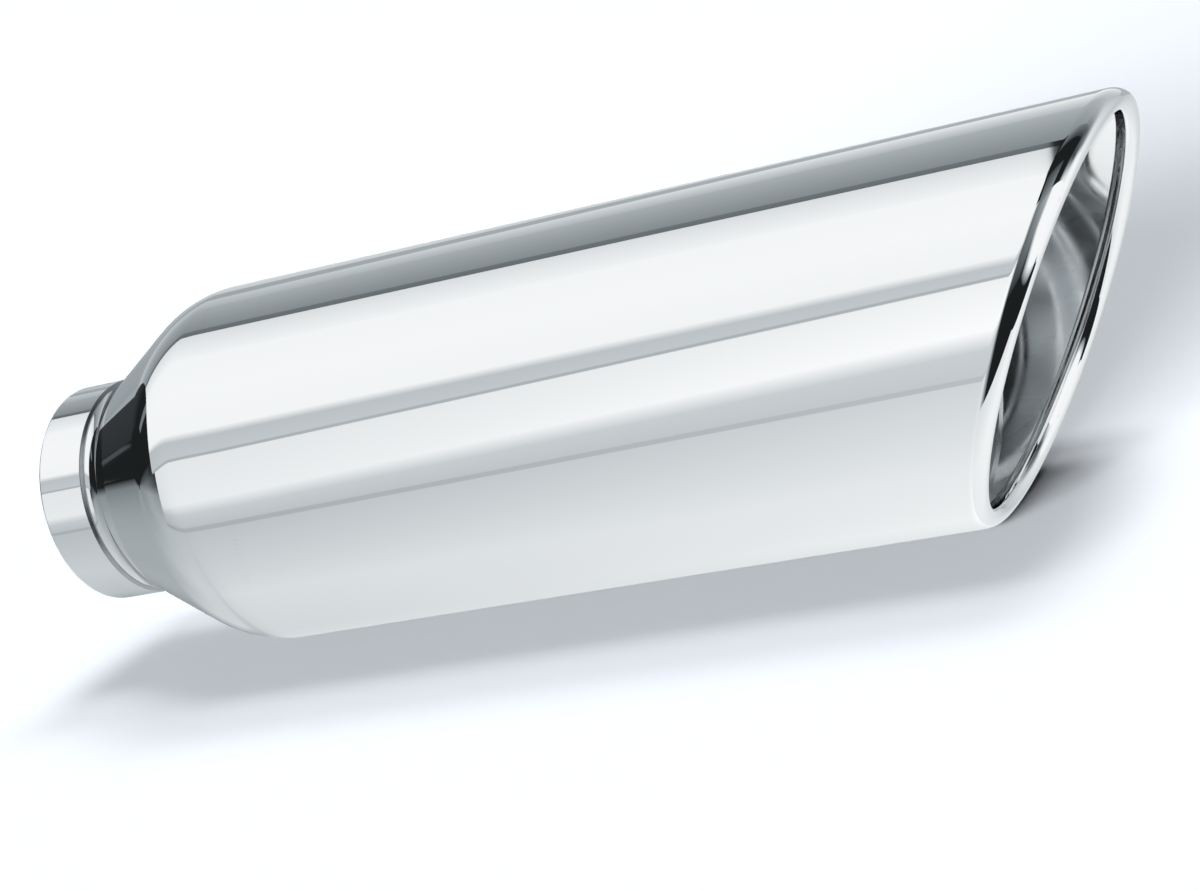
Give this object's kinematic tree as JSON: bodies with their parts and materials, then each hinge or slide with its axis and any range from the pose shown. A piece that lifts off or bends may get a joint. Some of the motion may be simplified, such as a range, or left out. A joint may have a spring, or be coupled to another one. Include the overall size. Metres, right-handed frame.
{
  "type": "exhaust tip",
  "caption": "Round angle-cut exhaust tip: polished shell with a rolled mouth and a slip-on inlet collar, a dished bell inside the mouth and a louvred core tube.",
  "frame": {"origin": "centre of the inlet collar's end face", "axes": "+X along the axis towards the mouth, +Z towards the long side of the angle cut, as it hangs on the car"},
  "size_m": [0.3315, 0.1016, 0.1016],
  "materials": {
    "polished_stainless": "mirror-polished stainless sheet",
    "satin_stainless": "spun stainless sheet, satin",
    "louvre_stainless": "pressed stainless strip, mill finish"
  },
  "bodies": {
    "root": {"outer_shell": "polished_stainless", "front_bell": "satin_stainless", "louvred_core": "louvre_stainless"}
  },
  "joints": []
}
